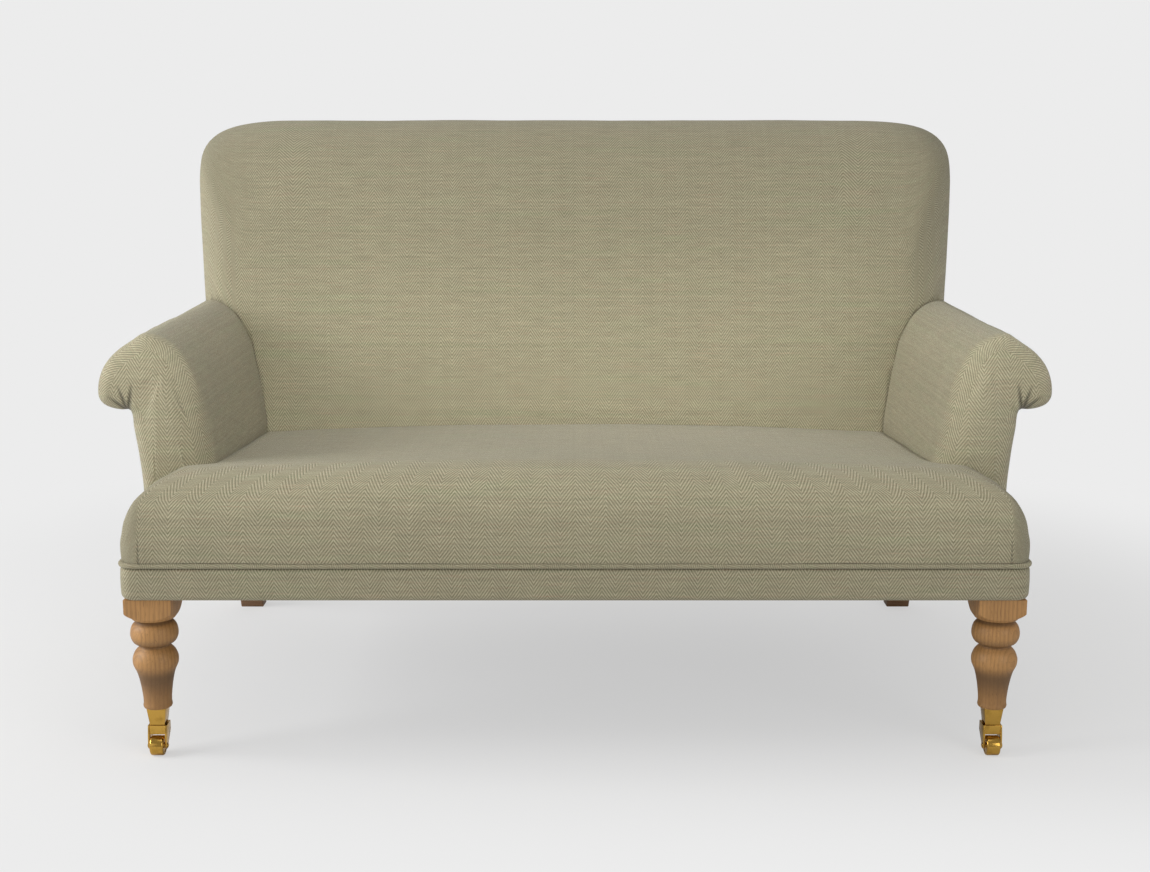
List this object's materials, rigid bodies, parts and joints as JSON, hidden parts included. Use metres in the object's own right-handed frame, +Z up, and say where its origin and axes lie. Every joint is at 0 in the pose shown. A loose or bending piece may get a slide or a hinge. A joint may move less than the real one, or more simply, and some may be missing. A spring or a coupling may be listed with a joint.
{
  "type": "high back settee",
  "caption": "Upholstered high back settee with padded roll arms, a fixed sprung seat, turned front legs on swivelling brass castors and plain raked back legs.",
  "frame": {"origin": "on the floor, in the middle of the settee's width and depth", "axes": "+X across the width, to the right seen from the front; +Y towards the back; +Z up"},
  "size_m": [1.54, 0.875, 0.994],
  "materials": {
    "cover_cloth": "woven herringbone wool and linen cloth, sage and stone threads",
    "leg_oak": "satin varnished natural oak, turned",
    "back_leg_wood": "dark stained hardwood, satin",
    "frame_wood": "sawn beech, unfinished",
    "castor_brass": "polished",
    "spring_steel": "drawn wire",
    "webbing": "woven jute",
    "dust_cover_cloth": "plain black lining cloth"
  },
  "bodies": {
    "root": {"arm_front_post_left": "frame_wood", "arm_front_post_right": "frame_wood", "arm_padding_left": "cover_cloth", "arm_padding_right": "cover_cloth", "arm_stuffing_rail_left": "frame_wood", "arm_stuffing_rail_right": "frame_wood", "arm_top_rail_left": "frame_wood", "arm_top_rail_right": "frame_wood", "back_leg_and_upright_left": "back_leg_wood", "back_leg_and_upright_right": "back_leg_wood", "back_lower_rail": "frame_wood", "back_top_rail": "frame_wood", "back_webbing": "webbing", "castor_cup_left": "castor_brass", "castor_cup_right": "castor_brass", "centre_seat_rail": "frame_wood", "dust_cover": "dust_cover_cloth", "front_corner_post_left": "frame_wood", "front_corner_post_right": "frame_wood", "front_leg_left": "leg_oak", "front_leg_right": "leg_oak", "front_seat_rail": "frame_wood", "inside_back_padding": "cover_cloth", "outside_arm_panel_left": "cover_cloth", "outside_arm_panel_right": "cover_cloth", "outside_back_panel": "cover_cloth", "rear_corner_brace_left": "frame_wood", "rear_corner_brace_right": "frame_wood", "rear_seat_rail": "frame_wood", "seat_border_band": "cover_cloth", "seat_padding": "cover_cloth", "seat_spring_11": "spring_steel", "seat_spring_12": "spring_steel", "seat_spring_13": "spring_steel", "seat_spring_14": "spring_steel", "seat_spring_21": "spring_steel", "seat_spring_22": "spring_steel", "seat_spring_23": "spring_steel", "seat_spring_24": "spring_steel", "seat_webbing": "webbing", "seat_welt": "cover_cloth", "side_seat_rail_left": "frame_wood", "side_seat_rail_right": "frame_wood"},
    "castor_left": {"castor_yoke_left": "castor_brass", "castor_swivel_pin_left": "castor_brass", "castor_axle_left": "castor_brass"},
    "wheel_left": {"castor_wheel_left": "castor_brass"},
    "castor_right": {"castor_yoke_right": "castor_brass", "castor_swivel_pin_right": "castor_brass", "castor_axle_right": "castor_brass"},
    "wheel_right": {"castor_wheel_right": "castor_brass"}
  },
  "joints": [
    {"name": "castor_swivel_left", "type": "hinge", "parent": "root", "child": "castor_left", "pos_m": [-0.664, -0.3885, 0.049], "axis": [0, 0, 1], "continuous": true},
    {"name": "castor_roll_left", "type": "hinge", "parent": "castor_left", "child": "wheel_left", "pos_m": [-0.664, -0.4005, 0.0159], "axis": [1, 0, 0], "continuous": true},
    {"name": "castor_swivel_right", "type": "hinge", "parent": "root", "child": "castor_right", "pos_m": [0.664, -0.3885, 0.049], "axis": [0, 0, 1], "continuous": true},
    {"name": "castor_roll_right", "type": "hinge", "parent": "castor_right", "child": "wheel_right", "pos_m": [0.664, -0.4005, 0.0159], "axis": [1, 0, 0], "continuous": true}
  ]
}
